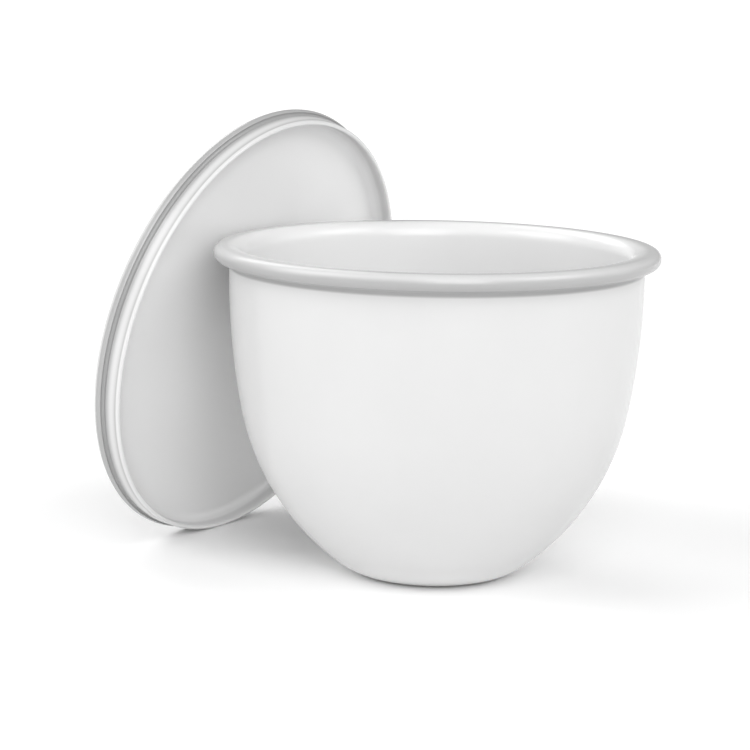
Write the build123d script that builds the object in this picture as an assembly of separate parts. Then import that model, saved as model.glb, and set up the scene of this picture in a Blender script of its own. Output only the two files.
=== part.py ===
from build123d import *
import os
from math import acos, atan2, cos, degrees, radians, sin, sqrt

# Porcelain crucible with its cap lid, in millimetres.
# +Z is up. The origin is the centre of the flat foot, on the bench.
# The lid leans on the rim from the -X side, with its open side towards the crucible.

# Crucible, overall
crucible_height = 44.8
rim_radius = 30.0
foot_radius = 8.0
wall = 2.0

# Crucible, outer curves from the rim down: straight collar, side, belly, heel
collar = 4.0
side_radius = 96.0
belly_radius = 34.3
heel_radius = 8.2

# Rolled rim
rim_overhang = 2.1
bead_height = 2.2
neck_fillet = 0.5
mouth_rounding = 2.0

# Lid
plate_thickness = 1.6
skirt_wall = 0.85
skirt_draft = 0.25
skirt_clearance = 0.25
skirt_cover = 0.25
flange_overhang = 0.45
groove_radius = 0.35

# How the lid stands beside the crucible
lean_angle = 13.8
lean_gap = 0.2
sideways_offset = 2.65

# Derived crucible sizes
wall_radius = rim_radius - rim_overhang
collar_foot = crucible_height - collar
bead_radius = bead_height / 2
bead_centre = Vector(rim_radius - bead_radius, crucible_height - bead_radius)

# Derived lid sizes: the skirt drops over the bead and thins towards its lip,
# and the corner of the recess clears the bead
plate_half = plate_thickness / 2
skirt_inner_radius = rim_radius + skirt_clearance
skirt_outer_radius = skirt_inner_radius + skirt_wall
flange_radius = skirt_outer_radius + flange_overhang
recess_fillet = bead_radius + skirt_clearance
skirt_depth = bead_height + skirt_cover
lip_radius = (skirt_wall - skirt_draft) / 2
plate_edge_centre = Vector(flange_radius - plate_half, 0)
lip_centre = Vector(skirt_inner_radius + lip_radius, lip_radius - plate_half - skirt_depth)


def direction(start, end):
    """Angle of the line from one point to another, in degrees from +X."""
    return degrees(atan2(end.Y - start.Y, end.X - start.X))


def circles_meet(centre_a, radius_a, centre_b, radius_b):
    """The upper of the two points where two circles cross."""
    between = centre_b - centre_a
    distance = between.length
    along = (distance**2 + radius_a**2 - radius_b**2) / (2 * distance)
    across = sqrt(radius_a**2 - along**2)
    unit = between / distance
    return centre_a + unit * along + Vector(-unit.Y, unit.X) * across


def tangent_point(outside, centre, radius):
    """Where the line from an outside point touches a circle, on the side away from the axis."""
    away = outside - centre
    reach = acos(radius / away.length)
    bearing = atan2(away.Y, away.X) - reach
    return centre + Vector(cos(bearing), sin(bearing)) * radius


def arc(centre, radius, start, end):
    """Arc about a centre, between two angles in degrees."""
    return CenterArc(centre, radius, start, end - start)


def box_section(left, right, bottom, top):
    """Rectangle between two radii and two heights."""
    centre = Pos((left + right) / 2, (bottom + top) / 2)
    return centre * Rectangle(right - left, top - bottom)


def round_corner(section, radius, *corner):
    """Section with its vertex nearest to a corner rounded."""
    vertex = section.vertices().sort_by_distance((*corner, 0))[0]
    return fillet(vertex, radius)


def bowl_half(inset):
    """Half of the bowl's section, filled up to the rim, drawn in from its outside by inset."""
    side_centre = Vector(wall_radius - side_radius, collar_foot)
    heel_centre = Vector(foot_radius, heel_radius)
    to_side = side_radius - belly_radius
    to_heel = belly_radius - heel_radius
    belly_centre = circles_meet(side_centre, to_side, heel_centre, to_heel)
    side_end = direction(side_centre, belly_centre)
    belly_end = direction(belly_centre, heel_centre)
    inset_radius = wall_radius - inset
    outline = [
        Line((0, inset), (foot_radius, inset)),
        arc(heel_centre, heel_radius - inset, -90, belly_end),
        arc(belly_centre, belly_radius - inset, belly_end, side_end),
        arc(side_centre, side_radius - inset, side_end, 0),
        Line((inset_radius, collar_foot), (inset_radius, crucible_height)),
        Line((inset_radius, crucible_height), (0, crucible_height)),
        Line((0, crucible_height), (0, inset)),
    ]
    return make_face(outline)


def spun(section):
    """Solid of revolution about +Z of a section drawn as radius and height."""
    return revolve(Plane.XZ * section, Axis.Z)


def make_crucible():
    """Thin round-bottomed bowl with a flat foot and a rolled rim."""
    neck = crucible_height - bead_height
    bead = box_section(wall_radius - wall / 2, bead_centre.X, neck, crucible_height)
    bead += Pos(bead_centre) * Circle(bead_radius)
    section = bowl_half(0) - bowl_half(wall) + bead
    section = round_corner(section, neck_fillet, wall_radius, neck)
    section = round_corner(section, mouth_rounding, wall_radius - wall, crucible_height)
    return spun(section)


def make_lid():
    """Cap lid in its seated attitude, open side down, centred on the middle of its plate."""
    plate = box_section(0, plate_edge_centre.X, -plate_half, plate_half)
    plate += Pos(plate_edge_centre) * Circle(plate_half)
    crease = Vector(skirt_outer_radius, -plate_half)
    skirt_corners = [
        (skirt_inner_radius, 0),
        (skirt_inner_radius, lip_centre.Y),
        lip_centre,
        tangent_point(crease, lip_centre, lip_radius),
        crease,
        (skirt_outer_radius, 0),
    ]
    skirt = make_face(Polyline(*skirt_corners, close=True))
    skirt += Pos(lip_centre) * Circle(lip_radius)
    groove = Pos(crease) * Circle(groove_radius)
    section = plate + skirt - groove
    section = round_corner(section, recess_fillet, skirt_inner_radius, -plate_half)
    return spun(section)


def leaning_place():
    """Where the lid stands: lip or edge on the bench, inner face a gap away from the bead."""
    lean = radians(lean_angle)
    edge_drop = plate_edge_centre.X * cos(lean) + plate_half
    lip_drop = lip_centre.X * cos(lean) - lip_centre.Y * sin(lean) + lip_radius
    centre_z = max(edge_drop, lip_drop)
    stand_off = plate_half + bead_radius + lean_gap
    centre_x = -bead_centre.X - (stand_off + (bead_centre.Y - centre_z) * sin(lean)) / cos(lean)
    return Pos(centre_x, sideways_offset, centre_z) * Rot(0, lean_angle - 90, 0)


os.makedirs("parts", exist_ok=True)
export_step(make_crucible(), "parts/crucible.step")
export_step(leaning_place() * make_lid(), "parts/lid.step")
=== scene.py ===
from collections import namedtuple
from math import acos, atan2, cos, pi, radians, sin

import bmesh
import bpy
from bpy.props import FloatProperty, FloatVectorProperty, PointerProperty
from mathutils import Matrix, Vector
from mathutils.geometry import intersect_sphere_sphere_2d


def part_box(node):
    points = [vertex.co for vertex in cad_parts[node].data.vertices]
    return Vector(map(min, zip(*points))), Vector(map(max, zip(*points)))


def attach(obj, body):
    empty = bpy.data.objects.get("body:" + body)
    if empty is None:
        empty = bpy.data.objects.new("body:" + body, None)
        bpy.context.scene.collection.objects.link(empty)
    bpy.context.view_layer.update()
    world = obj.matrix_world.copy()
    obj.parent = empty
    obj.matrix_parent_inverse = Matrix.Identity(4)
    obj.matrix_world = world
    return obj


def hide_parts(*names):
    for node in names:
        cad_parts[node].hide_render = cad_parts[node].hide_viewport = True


bl_info = {
    "name": "Porcelain Crucible",
    "version": (1, 0, 0),
    "blender": (4, 5, 0),
    "location": "3D View > Sidebar > Crucible",
    "description": "Makes a glazed porcelain crucible, its cap lid and a pale studio",
    "category": "Object",
}

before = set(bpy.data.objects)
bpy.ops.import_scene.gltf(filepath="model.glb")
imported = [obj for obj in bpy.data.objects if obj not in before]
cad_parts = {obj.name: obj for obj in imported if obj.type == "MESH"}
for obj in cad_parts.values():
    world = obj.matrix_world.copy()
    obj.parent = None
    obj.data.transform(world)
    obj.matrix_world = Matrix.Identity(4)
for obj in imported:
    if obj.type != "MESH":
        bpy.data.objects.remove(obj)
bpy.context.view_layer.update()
lid_low, lid_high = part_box("lid")
crucible_low, crucible_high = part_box("crucible")

MERGE_DISTANCE = 1e-7
UP = Vector((0, 0, 1))

# Directions in a half section, drawn as radius and height
OUTWARD = Vector((1, 0))
UPWARD = Vector((0, 1))

# Fineness of the patterns in the glaze, the bare foot and the paper, as noise scales per metre
CLOUDING = 110.0
PINHOLES = 210.0
GLOSS_PATCHES = 260.0
SLOW_WAVES = 380.0
BISCUIT_GRAIN = 2600.0
PAPER_TOOTH = 900.0

# Studio
PAPER_RADIUS = 12.0
SENSOR_WIDTH = 36.0
LAMP_DISTANCE = 1.0

# The lamps are alike, broad and far off, in a low ring and a high ring: name, side from the camera
# in degrees, height, strength
LAMP_SPREAD = 35
LOW = 12
HIGH = 40
LAMPS = (
    ("front_low", 10, LOW, 1.1),
    ("front_high", 10, HIGH, 0.9),
    ("left_low", -80, LOW, 0.5),
    ("left_high", -80, HIGH, 0.85),
    ("left_front_high", -50, HIGH, 0.25),
    ("back_low", -150, LOW, 0.2),
    ("back_high", -150, HIGH, 0.7),
    ("right_low", 100, LOW, 0.2),
    ("right_high", 70, HIGH, 0.85),
)

# How far the cores of some rings of painted shade and painted light lie from the shapes they follow
UNDER_BEAD_INSET = 0.0002
SKIRT_SIDE_STANDOFF = 0.0015
SKIRT_MIDDLE_DROP = 0.0012
RECESS_CORNER_INSET = 0.0003

# The same for the mouth, as shares of its rounding
MOUTH_CORE_IN = 0.35
MOUTH_CORE_DROP = 0.3

# Share of the bare height that has no glaze at all
FULLY_BARE = 0.6

# A ring of colour round the axis, used for painted shade and painted light: its colour, the radius and
# height of its core, the distances from the core where it is still full and already gone, and its strength
Ring = namedtuple("Ring", "tint radius height full gone strength")


def length(label, description, default):
    """A size in metres."""
    return FloatProperty(
        name=label,
        description=description,
        default=default,
        min=0.0,
        precision=5,
        subtype="DISTANCE",
        unit="LENGTH",
    )


def angle(label, description, default):
    """An angle, given in degrees."""
    return FloatProperty(
        name=label, description=description, default=radians(default), subtype="ANGLE", unit="ROTATION"
    )


def share(label, description, default, top=1.0):
    """A plain number."""
    return FloatProperty(name=label, description=description, default=default, min=0.0, max=top, precision=4)


def colour(label, description, default):
    """A linear colour."""
    return FloatVectorProperty(
        name=label, description=description, default=default, min=0.0, max=1.0, size=3, subtype="COLOR"
    )


class CrucibleSizes(bpy.types.PropertyGroup):
    """Sizes of the fired bowl and its rolled rim"""

    height: length("Height", "Foot to the top of the rim", crucible_high.z)
    rim_radius: length("Rim radius", "Axis to the outermost point of the bead", crucible_high.x)
    foot_radius: length("Foot radius", "Flat of the foot", 0.008)
    wall: length("Wall", "Thickness of the bowl", 0.002)
    collar: length("Collar", "Straight part below the top of the rim", 0.004)
    side_radius: length("Side radius", "Arc of the upper wall", 0.096)
    belly_radius: length("Belly radius", "Arc of the round lower wall", 0.0343)
    heel_radius: length("Heel radius", "Arc into the foot", 0.0082)
    rim_overhang: length("Rim overhang", "How far the bead stands out from the wall", 0.0021)
    bead_height: length("Bead height", "Thickness of the rolled bead", 0.0022)
    neck_fillet: length("Neck fillet", "Round under the bead", 0.0005)
    mouth_rounding: length("Mouth rounding", "Round from the rim into the bowl", 0.002)


class LidSizes(bpy.types.PropertyGroup):
    """Sizes of the cap lid, and how it leans on the rim"""

    plate: length("Plate", "Thickness of the flat plate", 0.0016)
    skirt_wall: length("Skirt wall", "Thickness of the skirt at the plate", 0.00085)
    skirt_draft: length("Skirt draft", "How much thinner the skirt is at its lip", 0.00025)
    skirt_clearance: length("Skirt clearance", "Room between the bead and the skirt", 0.00025)
    skirt_cover: length("Skirt cover", "How far the skirt reaches past the bead", 0.00025)
    flange_overhang: length("Flange overhang", "How far the plate stands out from the skirt", 0.00045)
    groove_radius: length("Groove radius", "Groove behind the plate's edge", 0.00035)
    groove_softening: length("Groove softening", "Round on the groove's two edges", 0.0001)
    lean: angle("Lean", "Lean of the lid from upright", 13.8)


class GlazeLook(bpy.types.PropertyGroup):
    """Colours and surface of the glaze, and the tints of painted shade and painted light"""

    glaze: colour("Glaze", "Fired white glaze", (0.61, 0.61, 0.61))
    thin_glaze: colour("Thin glaze", "Glaze where it ran thinner", (0.585, 0.585, 0.585))
    # Painted light: a whiter colour for the faces turned inwards, so the shaded insides read brighter
    painted_inner_light: colour("Lining", "Whiter glaze on the inner faces", (0.74, 0.74, 0.74))
    # Painted shade: a greyer colour laid on the bead, under it, in the neck, and on the lid's skirt and
    # groove
    painted_shade_tint: colour("Pooled glaze", "Thick greyer glaze, at the bead and groove", (0.325, 0.325, 0.325))
    # Painted light: a whiter colour laid over the mouth, the heel, the lid's recess corner and its lip
    painted_light_tint: colour("Edge glaze", "Whiter glaze drawn thin over the raised edges", (0.78, 0.78, 0.78))
    biscuit: colour("Biscuit", "Bare fired body on the foot", (0.62, 0.61, 0.59))
    pinhole: colour("Pinhole", "Tiny pits and grains in the glaze", (0.56, 0.56, 0.55))
    gloss_low: share("Smoothest", "Roughness where the glaze is smoothest", 0.2)
    gloss_high: share("Roughest", "Roughness where the glaze is dullest", 0.28)
    biscuit_roughness: share("Biscuit roughness", "Roughness of the bare foot", 0.8)
    index: share("Index", "Refractive index of the glaze", 1.5, 3.0)
    # How much of that painted inner light the lid's face gets
    lid_painted_inner_light: share("Lid lining", "How much of the whiter lining the lid's inner face has", 1.0)
    peel: length("Peel", "Height of the glaze's slow waves", 0.000006)
    bare_height: length("Bare height", "How far up from the bench the foot is bare", 0.0003)


class StudioLook(bpy.types.PropertyGroup):
    """Camera and lights"""

    azimuth: angle("Azimuth", "Turn of the camera round the crucible", 34.4814)
    elevation: angle("Elevation", "Height of the camera above the bench", 10.0328)
    roll: angle("Roll", "Turn of the camera about its own axis", 0.8812)
    distance: length("Distance", "Camera to the point it looks at", 0.35614)
    lens: share("Lens", "Focal length in millimetres on a 36 mm sensor", 126.22, 500.0)
    aim_side: length("Aim aside", "Aim point to the left of the axis", 0.0081)
    aim_height: length("Aim height", "Aim point above the bench", 0.026964)
    floor: colour("Floor", "Paper sweep", (0.98, 0.98, 0.98))
    ambient: share("Ambient", "Strength of the pale surroundings", 0.33, 10.0)


class Pen:
    """Draws half of a round section as a chain of edges, as radius along X and height along Z."""

    def __init__(self, radius, height):
        self.bm = bmesh.new()
        self.tip = bmesh.ops.create_vert(self.bm, co=(radius, 0, height))["vert"][0]

    def line(self, radius, height, steps=1):
        """Straight to a point, and returns the vertex there."""
        stride = (Vector((radius, 0, height)) - self.tip.co) / steps
        for _ in range(steps):
            self.tip = bmesh.ops.extrude_vert_indiv(self.bm, verts=[self.tip])["verts"][0]
            bmesh.ops.translate(self.bm, verts=[self.tip], vec=stride)
        return self.tip

    def arc(self, centre, turn, steps):
        """Round a centre by an angle, positive from X towards Z, and returns the vertex there."""
        pivot = (centre[0], 0, centre[1])
        swept = bmesh.ops.spin(
            self.bm, geom=[self.tip], cent=pivot, axis=(0, -1, 0), angle=turn, steps=steps, use_merge=False
        )
        self.tip = next(part for part in swept["geom_last"] if isinstance(part, bmesh.types.BMVert))
        return self.tip

    def soften(self, corners, offset, segments=3):
        """Rounds a few corners of the chain."""
        bmesh.ops.bevel(
            self.bm,
            geom=corners,
            offset=offset,
            segments=segments,
            profile=0.5,
            affect="VERTICES",
            material=-1,
        )

    def spun(self, name, place=Matrix.Identity(4), segments=256):
        """Closed mesh object from the chain turned about Z, and then put in its place."""
        bm = self.bm
        chain = bm.verts[:] + bm.edges[:]
        bmesh.ops.spin(bm, geom=chain, axis=UP, angle=2 * pi, steps=segments, use_merge=True)
        bmesh.ops.remove_doubles(bm, verts=bm.verts[:], dist=MERGE_DISTANCE)
        bmesh.ops.recalc_face_normals(bm, faces=bm.faces[:])
        bmesh.ops.transform(bm, matrix=place, verts=bm.verts[:])
        mesh = bpy.data.meshes.new(name)
        bm.to_mesh(mesh)
        bm.free()
        mesh.shade_smooth()
        piece = bpy.data.objects.new(name, mesh)
        bpy.context.scene.collection.objects.link(piece)
        return piece


def crossing(centre_a, radius_a, centre_b, radius_b, side):
    """Of the two points where two circles cross, the one farther to a side."""
    return max(intersect_sphere_sphere_2d(centre_a, radius_a, centre_b, radius_b), key=side.dot)


def heading(start, end):
    """Angle of the line from one point to another."""
    return atan2(end.y - start.y, end.x - start.x)


def draw_crucible(size):
    """Half section of the bowl: up the outside from the foot, over the bead and down the inside."""
    wall_radius = size.rim_radius - size.rim_overhang
    collar_foot = size.height - size.collar
    neck = size.height - size.bead_height
    bead_radius = size.bead_height / 2
    side_centre = Vector((wall_radius - size.side_radius, collar_foot))
    heel_centre = Vector((size.foot_radius, size.heel_radius))
    side_to_belly = size.side_radius - size.belly_radius
    heel_to_belly = size.belly_radius - size.heel_radius
    belly_centre = crossing(side_centre, side_to_belly, heel_centre, heel_to_belly, UPWARD)
    side_turn = -heading(side_centre, belly_centre)
    belly_turn = -heading(belly_centre, heel_centre) - side_turn
    heel_turn = pi / 2 - belly_turn - side_turn
    inner_radius = wall_radius - size.wall

    pen = Pen(0, 0)
    pen.line(size.foot_radius, 0, 4)
    pen.arc(heel_centre, heel_turn, 14)
    pen.arc(belly_centre, belly_turn, 36)
    pen.arc(side_centre, side_turn, 14)
    pen.line(wall_radius, neck - size.neck_fillet)
    pen.arc((wall_radius + size.neck_fillet, neck - size.neck_fillet), -pi / 2, 8)
    pen.line(size.rim_radius - bead_radius, neck)
    pen.arc((size.rim_radius - bead_radius, neck + bead_radius), pi, 24)
    pen.line(inner_radius + size.mouth_rounding, size.height)
    pen.arc((inner_radius + size.mouth_rounding, size.height - size.mouth_rounding), pi / 2, 14)
    pen.line(inner_radius, collar_foot)
    pen.arc(side_centre, -side_turn, 14)
    pen.arc(belly_centre, -belly_turn, 36)
    pen.arc(heel_centre, -heel_turn, 14)
    pen.line(0, size.wall, 4)
    return pen


def draw_lid(size, crucible):
    """Half section of the lid, open side down: from the middle of its top, round the edge, to its recess."""
    half = size.plate / 2
    bead_radius = crucible.bead_height / 2
    skirt_inner = crucible.rim_radius + size.skirt_clearance
    skirt_outer = skirt_inner + size.skirt_wall
    lip_radius = (size.skirt_wall - size.skirt_draft) / 2
    skirt_depth = crucible.bead_height + size.skirt_cover
    lip_centre = Vector((skirt_inner + lip_radius, lip_radius - half - skirt_depth))
    corner = bead_radius + size.skirt_clearance
    edge_centre = Vector((skirt_outer + size.flange_overhang - half, 0))
    groove_centre = Vector((skirt_outer, -half))
    lip_turn = heading(lip_centre, groove_centre) - acos(lip_radius / (groove_centre - lip_centre).length)
    lip_start = lip_centre + Vector((cos(lip_turn), sin(lip_turn))) * lip_radius
    groove_start = crossing(edge_centre, half, groove_centre, size.groove_radius, OUTWARD)
    groove_bearing = heading(groove_centre, groove_start)
    edge_turn = heading(edge_centre, groove_start) - pi / 2
    groove_turn = 2 * pi + heading(groove_centre, lip_start) - groove_bearing

    pen = Pen(0, half)
    pen.line(edge_centre.x, half, 12)
    edge_end = pen.arc(edge_centre, edge_turn, 20)
    groove_end = pen.arc(groove_centre, groove_turn, 14)
    pen.line(*lip_start)
    pen.arc(lip_centre, -pi - lip_turn, 16)
    pen.line(skirt_inner, -half - corner)
    pen.arc((skirt_inner - corner, -half - corner), pi / 2, 12)
    pen.line(0, -half, 12)
    pen.soften([edge_end, groove_end], size.groove_softening)
    return pen


def lid_place(size, crucible):
    """Where the lid leans: turned upright, open side to the crucible, and set in the CAD lid's box."""
    half = size.plate / 2
    skirt_outer = crucible.rim_radius + size.skirt_clearance + size.skirt_wall
    edge_radius = skirt_outer + size.flange_overhang - half
    centre = Vector((
        lid_low.x + edge_radius * sin(size.lean) + half,
        (lid_low.y + lid_high.y) / 2,
        lid_high.z - edge_radius * cos(size.lean) - half,
    ))
    return Matrix.Translation(centre) @ Matrix.Rotation(size.lean - pi / 2, 4, "Y")


class Nodes:
    """Builds a material's nodes, each fed by sockets or plain values."""

    def __init__(self, tree):
        self.tree = tree
        tree.nodes.clear()

    def add(self, kind, inputs=None, **settings):
        """Adds a node, sets its options, and links or sets its inputs."""
        node = self.tree.nodes.new(kind)
        for option, value in settings.items():
            setattr(node, option, value)
        for socket, value in (inputs or {}).items():
            if isinstance(value, bpy.types.NodeSocket):
                self.tree.links.new(value, node.inputs[socket])
            else:
                node.inputs[socket].default_value = value
        return node


def opaque(colour_value):
    """Linear colour with full alpha."""
    return (*colour_value, 1.0)


def across(nodes, place):
    """The level part of a place, from the upright axis."""
    parts = nodes.add("ShaderNodeSeparateXYZ", {"Vector": place}).outputs
    return nodes.add("ShaderNodeCombineXYZ", {"X": parts["X"], "Y": parts["Y"]}).outputs["Vector"]


def half_plane(nodes, place):
    """Folds a place round its axis, so that X is the radius and Z the height."""
    height = nodes.add("ShaderNodeSeparateXYZ", {"Vector": place}).outputs["Z"]
    level = across(nodes, place)
    radius = nodes.add("ShaderNodeVectorMath", {0: level}, operation="LENGTH").outputs["Value"]
    return nodes.add("ShaderNodeCombineXYZ", {"X": radius, "Z": height}).outputs["Vector"]


def ring_mask(nodes, folded, ring):
    """Mask of a ring round the axis."""
    core = (ring.radius, 0, ring.height)
    away = nodes.add("ShaderNodeVectorMath", {0: folded, 1: core}, operation="DISTANCE").outputs["Value"]
    return nodes.add(
        "ShaderNodeMapRange",
        {
            "Value": away,
            "From Min": ring.full,
            "From Max": ring.gone,
            "To Min": ring.strength,
            "To Max": 0.0,
        },
        interpolation_type="SMOOTHSTEP",
    ).outputs["Result"]


def to_axis(nodes, place):
    """Level direction from a place to the upright axis."""
    level = across(nodes, place)
    back = nodes.add("ShaderNodeVectorMath", {0: level, "Scale": -1.0}, operation="SCALE").outputs["Vector"]
    return nodes.add("ShaderNodeVectorMath", {0: back}, operation="NORMALIZE").outputs["Vector"]


def facing_mask(nodes, direction, strength):
    """Mask of the surface that faces a direction."""
    normal = nodes.add("ShaderNodeTexCoord").outputs["Normal"]
    facing = nodes.add("ShaderNodeVectorMath", {0: normal, 1: direction}, operation="DOT_PRODUCT")
    return nodes.add(
        "ShaderNodeMapRange",
        {"Value": facing.outputs["Value"], "From Min": 0.0, "From Max": 0.5, "To Max": strength},
        interpolation_type="SMOOTHSTEP",
    ).outputs["Result"]


def layer(nodes, mask, below, above):
    """Lays one colour over another where a mask says."""
    return nodes.add("ShaderNodeMix", {"Factor": mask, "A": below, "B": above}, data_type="RGBA").outputs[2]


def clouded_glaze(nodes, place, look):
    """Faintly clouded white with a few pinholes."""
    cloud = nodes.add(
        "ShaderNodeTexNoise", {"Vector": place, "Scale": CLOUDING, "Detail": 3.0, "Roughness": 0.55}
    ).outputs["Fac"]
    tone = layer(nodes, cloud, opaque(look.thin_glaze), opaque(look.glaze))
    away = nodes.add(
        "ShaderNodeTexVoronoi", {"Vector": place, "Scale": PINHOLES, "Randomness": 1.0}, feature="F1"
    ).outputs["Distance"]
    pinholes = nodes.add(
        "ShaderNodeMapRange",
        {"Value": away, "From Min": 0.015, "From Max": 0.04, "To Min": 0.3, "To Max": 0.0},
    ).outputs["Result"]
    return layer(nodes, pinholes, tone, opaque(look.pinhole))


def bare_foot(nodes, place, look, top, tone, roughness):
    """Changes the glaze's colour and roughness to bare fired body below a height."""
    height = nodes.add("ShaderNodeSeparateXYZ", {"Vector": place}).outputs["Z"]
    bare = nodes.add(
        "ShaderNodeMapRange",
        {"Value": height, "From Min": top * FULLY_BARE, "From Max": top, "To Min": 1.0, "To Max": 0.0},
    ).outputs["Result"]
    grain = nodes.add("ShaderNodeTexNoise", {"Vector": place, "Scale": BISCUIT_GRAIN, "Detail": 3.0})
    biscuit = layer(nodes, grain.outputs["Fac"], opaque(look.biscuit), opaque(look.thin_glaze))
    rough = nodes.add(
        "ShaderNodeMix", {"Factor": bare, "A": roughness, "B": look.biscuit_roughness}, data_type="FLOAT"
    ).outputs[0]
    return layer(nodes, bare, tone, biscuit), rough


def glaze_material(name, look, rings, lean_place=None, bare_below=None):
    """White feldspathic glaze: faint clouding, slow waves, a few pinholes, painted light on the faces turned
    inwards, rings of painted shade and painted light, and a bare foot where asked."""
    material = bpy.data.materials.new(name)
    material.use_nodes = True
    nodes = Nodes(material.node_tree)
    place = nodes.add("ShaderNodeTexCoord").outputs["Object"]
    tone = clouded_glaze(nodes, place, look)

    if lean_place is None:
        own_place = place
        inward = to_axis(nodes, place)
        painted_inner_light_share = 1.0
    else:
        own_place = nodes.add(
            "ShaderNodeMapping",
            {
                "Vector": place,
                "Location": lean_place.to_translation(),
                "Rotation": lean_place.to_euler(),
            },
            vector_type="TEXTURE",
        ).outputs["Vector"]
        inward = -lean_place.col[2].to_3d()
        painted_inner_light_share = look.lid_painted_inner_light
    # Painted light: a whiter colour on the faces turned inwards, brightening the shaded inside of the bowl
    # and the lid's face
    tone = layer(nodes, facing_mask(nodes, inward, painted_inner_light_share), tone, opaque(look.painted_inner_light))
    folded = half_plane(nodes, own_place)
    # Rings of painted shade and painted light, laid over the glaze round the axis
    for ring in rings:
        tone = layer(nodes, ring_mask(nodes, folded, ring), tone, opaque(ring.tint))

    gloss = nodes.add("ShaderNodeTexNoise", {"Vector": place, "Scale": GLOSS_PATCHES, "Detail": 2.0})
    roughness = nodes.add(
        "ShaderNodeMapRange",
        {"Value": gloss.outputs["Fac"], "To Min": look.gloss_low, "To Max": look.gloss_high},
    ).outputs["Result"]
    wave = nodes.add(
        "ShaderNodeTexNoise", {"Vector": place, "Scale": SLOW_WAVES, "Detail": 2.0, "Roughness": 0.4}
    ).outputs["Fac"]
    bump = nodes.add("ShaderNodeBump", {"Height": wave, "Strength": 1.0, "Distance": look.peel})
    if bare_below is not None:
        tone, roughness = bare_foot(nodes, place, look, bare_below, tone, roughness)
    shader = nodes.add(
        "ShaderNodeBsdfPrincipled",
        {"Base Color": tone, "Roughness": roughness, "IOR": look.index, "Normal": bump.outputs["Normal"]},
    )
    nodes.add("ShaderNodeOutputMaterial", {"Surface": shader.outputs["BSDF"]})
    return material


def bowl_rings(size, look):
    """Painted shade over the bead, under it and in the neck, and painted light over the mouth and the heel.
    """
    wall_radius = size.rim_radius - size.rim_overhang
    neck = size.height - size.bead_height
    bead_radius = size.bead_height / 2
    # Painted shade, faint, over the whole bead
    bead = Ring(
        look.painted_shade_tint,
        radius=size.rim_radius - bead_radius,
        height=neck + bead_radius,
        full=0.00115,
        gone=0.0016,
        strength=0.12,
    )
    # Painted shadow: a dark line on the wall under the bead
    under_bead = Ring(
        look.painted_shade_tint,
        radius=size.rim_radius - UNDER_BEAD_INSET,
        height=neck,
        full=0.001,
        gone=0.0019,
        strength=0.8,
    )
    # Painted shade in the corner of the neck
    neck_corner = Ring(
        look.painted_shade_tint,
        radius=wall_radius,
        height=neck - size.neck_fillet / 2,
        full=0.0004,
        gone=0.0008,
        strength=0.9,
    )
    # Painted highlight round the mouth's rounding
    mouth = Ring(
        look.painted_light_tint,
        radius=wall_radius - size.wall + size.mouth_rounding * MOUTH_CORE_IN,
        height=size.height - size.mouth_rounding * MOUTH_CORE_DROP,
        full=0.0008,
        gone=0.002,
        strength=0.7,
    )
    # Painted light on the lower wall round the heel
    heel = Ring(look.painted_light_tint, radius=size.foot_radius, height=0.0, full=0.002, gone=0.009, strength=0.9)
    return bead, under_bead, neck_corner, mouth, heel


def lid_rings(size, crucible, look):
    """Painted shade on the skirt's outside and in the groove, and painted light over the recess corner and
    the lip.
    """
    half = size.plate / 2
    skirt_inner = crucible.rim_radius + size.skirt_clearance
    skirt_outer = skirt_inner + size.skirt_wall
    skirt_middle = -half - SKIRT_MIDDLE_DROP
    # Painted shade on the outside of the skirt
    skirt_side = Ring(
        look.painted_shade_tint,
        radius=skirt_outer + SKIRT_SIDE_STANDOFF,
        height=skirt_middle,
        full=0.0023,
        gone=0.0025,
        strength=0.85,
    )
    # Painted shade in the groove, a dark crease
    groove = Ring(
        look.painted_shade_tint, radius=skirt_outer, height=-half, full=0.00025, gone=0.00045, strength=0.8
    )
    # Painted light on the skirt's inner wall by the recess corner
    recess_corner = Ring(
        look.painted_light_tint,
        radius=skirt_inner - RECESS_CORNER_INSET,
        height=skirt_middle,
        full=0.0009,
        gone=0.0013,
        strength=0.7,
    )
    # Painted highlight along the lip's crest
    lip = Ring(
        look.painted_light_tint,
        radius=skirt_inner + (size.skirt_wall - size.skirt_draft) / 2,
        height=-half - crucible.bead_height - size.skirt_cover,
        full=0.00045,
        gone=0.0006,
        strength=0.7,
    )
    return skirt_side, groove, recess_corner, lip


def paper_material(name, tint):
    """Smooth pale paper with the faintest tooth."""
    material = bpy.data.materials.new(name)
    material.use_nodes = True
    nodes = Nodes(material.node_tree)
    place = nodes.add("ShaderNodeTexCoord").outputs["Object"]
    tooth = nodes.add("ShaderNodeTexNoise", {"Vector": place, "Scale": PAPER_TOOTH, "Detail": 2.0})
    bump = nodes.add(
        "ShaderNodeBump", {"Height": tooth.outputs["Fac"], "Strength": 0.3, "Distance": 0.00002}
    )
    shader = nodes.add(
        "ShaderNodeBsdfPrincipled",
        {"Base Color": opaque(tint), "Roughness": 0.9, "Normal": bump.outputs["Normal"]},
    )
    nodes.add("ShaderNodeOutputMaterial", {"Surface": shader.outputs["BSDF"]})
    return material


def settle(piece, material, node, body):
    """Finishes a piece: its material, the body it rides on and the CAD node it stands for."""
    piece.data.materials.append(material)
    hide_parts(node)
    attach(piece, body)


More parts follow.
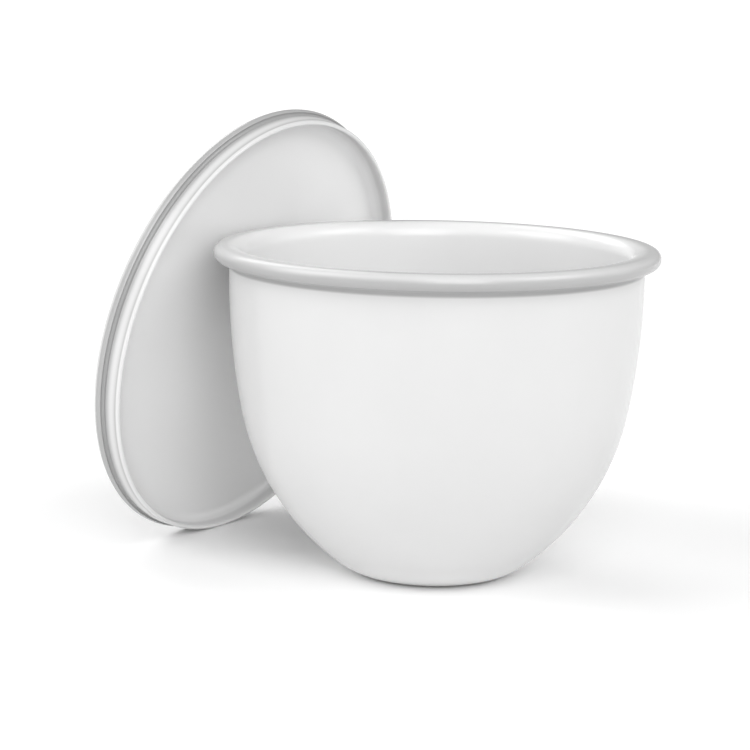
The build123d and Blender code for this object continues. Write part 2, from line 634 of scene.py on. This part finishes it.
class CRUCIBLE_OT_make_bowl(bpy.types.Operator):
    """Make the fired bowl with its rolled rim"""

    bl_idname = "crucible.make_bowl"
    bl_label = "Make Bowl"

    def execute(self, context):
        scene = context.scene
        piece = draw_crucible(scene.crucible_sizes).spun("crucible_bowl")
        rings = bowl_rings(scene.crucible_sizes, scene.glaze_look)
        glaze = glaze_material(
            "white_glaze_bare_foot", scene.glaze_look, rings, bare_below=scene.glaze_look.bare_height
        )
        settle(piece, glaze, "crucible", "crucible")
        return {"FINISHED"}


class CRUCIBLE_OT_make_lid(bpy.types.Operator):
    """Make the cap lid, leaning on the rim"""

    bl_idname = "crucible.make_lid"
    bl_label = "Make Lid"

    def execute(self, context):
        scene = context.scene
        sizes = scene.crucible_sizes
        place = lid_place(scene.lid_sizes, sizes)
        piece = draw_lid(scene.lid_sizes, sizes).spun("cap_lid", place)
        rings = lid_rings(scene.lid_sizes, sizes, scene.glaze_look)
        glaze = glaze_material("white_glaze", scene.glaze_look, rings, lean_place=place)
        settle(piece, glaze, "lid", "lid")
        return {"FINISHED"}


def sight(turn, rise):
    """Direction from the crucible to a place at a turn round it and a rise above the bench."""
    return Vector((sin(turn) * cos(rise), -cos(turn) * cos(rise), sin(rise)))


def wide_light(name, side, height, strength, view_azimuth):
    """Even light from a broad far source, placed by its angle round the crucible from the camera's side."""
    back = sight(view_azimuth + radians(side), radians(height))
    light = bpy.data.lights.new(name, "SUN")
    light.energy = strength
    light.angle = radians(LAMP_SPREAD)
    lamp = bpy.data.objects.new(name, light)
    lamp.location = back * LAMP_DISTANCE
    lamp.rotation_mode = "QUATERNION"
    lamp.rotation_quaternion = (-back).to_track_quat("-Z", "Y")
    bpy.context.scene.collection.objects.link(lamp)


def lay_paper(scene, look):
    """Round paper sweep, far wider than the view."""
    bm = bmesh.new()
    bmesh.ops.create_circle(bm, cap_ends=True, cap_tris=False, segments=128, radius=PAPER_RADIUS)
    mesh = bpy.data.meshes.new("paper_sweep")
    bm.to_mesh(mesh)
    bm.free()
    sweep = bpy.data.objects.new("paper_sweep", mesh)
    scene.collection.objects.link(sweep)
    mesh.materials.append(paper_material("paper", look.floor))


def light_surroundings(scene, look):
    """Even white light from all round."""
    world = bpy.data.worlds.new("pale_surroundings")
    world.use_nodes = True
    background = world.node_tree.nodes["Background"]
    background.inputs["Color"].default_value = (1.0, 1.0, 1.0, 1.0)
    background.inputs["Strength"].default_value = look.ambient
    scene.world = world


def set_camera(scene, look):
    """Camera with a long lens, slightly above the bench."""
    back = sight(look.azimuth, look.elevation)
    right = Vector((cos(look.azimuth), sin(look.azimuth), 0))
    camera = bpy.data.objects.new("camera", bpy.data.cameras.new("camera"))
    camera.data.lens = look.lens
    camera.data.sensor_width = SENSOR_WIDTH
    camera.data.clip_start = 0.01
    camera.data.clip_end = 40.0
    camera.rotation_mode = "QUATERNION"
    camera.rotation_quaternion = (
        Matrix.Rotation(look.roll, 3, back).to_quaternion() @ (-back).to_track_quat("-Z", "Y")
    )
    camera.location = UP * look.aim_height - right * look.aim_side + back * look.distance
    scene.collection.objects.link(camera)
    scene.camera = camera


class CRUCIBLE_OT_make_studio(bpy.types.Operator):
    """Make the paper sweep, the soft lights and the camera"""

    bl_idname = "crucible.make_studio"
    bl_label = "Make Studio"

    def execute(self, context):
        scene = context.scene
        look = scene.studio_look
        lay_paper(scene, look)
        light_surroundings(scene, look)
        for lamp in LAMPS:
            wide_light(*lamp, look.azimuth)
        set_camera(scene, look)
        scene.view_settings.view_transform = "Standard"
        return {"FINISHED"}


class CRUCIBLE_PT_maker(bpy.types.Panel):
    """Sizes, looks and makers of the crucible"""

    bl_label = "Porcelain Crucible"
    bl_idname = "CRUCIBLE_PT_maker"
    bl_space_type = "VIEW_3D"
    bl_region_type = "UI"
    bl_category = "Crucible"

    def draw(self, context):
        layout = self.layout
        scene = context.scene
        for title, group, maker in (
            ("Bowl", scene.crucible_sizes, CRUCIBLE_OT_make_bowl),
            ("Lid", scene.lid_sizes, CRUCIBLE_OT_make_lid),
            ("Glaze", scene.glaze_look, None),
            ("Studio", scene.studio_look, CRUCIBLE_OT_make_studio),
        ):
            box = layout.box()
            box.label(text=title)
            for name in group.bl_rna.properties.keys():
                if name not in ("rna_type", "name"):
                    box.prop(group, name)
            if maker:
                box.operator(maker.bl_idname)


CLASSES = (
    CrucibleSizes,
    LidSizes,
    GlazeLook,
    StudioLook,
    CRUCIBLE_OT_make_bowl,
    CRUCIBLE_OT_make_lid,
    CRUCIBLE_OT_make_studio,
    CRUCIBLE_PT_maker,
)


def register():
    """Register the classes and hang their settings on the scene."""
    for cls in CLASSES:
        bpy.utils.register_class(cls)
    bpy.types.Scene.crucible_sizes = PointerProperty(type=CrucibleSizes)
    bpy.types.Scene.lid_sizes = PointerProperty(type=LidSizes)
    bpy.types.Scene.glaze_look = PointerProperty(type=GlazeLook)
    bpy.types.Scene.studio_look = PointerProperty(type=StudioLook)


def unregister():
    """Take the settings and the classes away again."""
    del bpy.types.Scene.studio_look
    del bpy.types.Scene.glaze_look
    del bpy.types.Scene.lid_sizes
    del bpy.types.Scene.crucible_sizes
    for cls in reversed(CLASSES):
        bpy.utils.unregister_class(cls)


def main():
    """Make everything, in order."""
    register()
    bpy.ops.crucible.make_bowl()
    bpy.ops.crucible.make_lid()
    bpy.ops.crucible.make_studio()


if __name__ == "__main__":
    main()
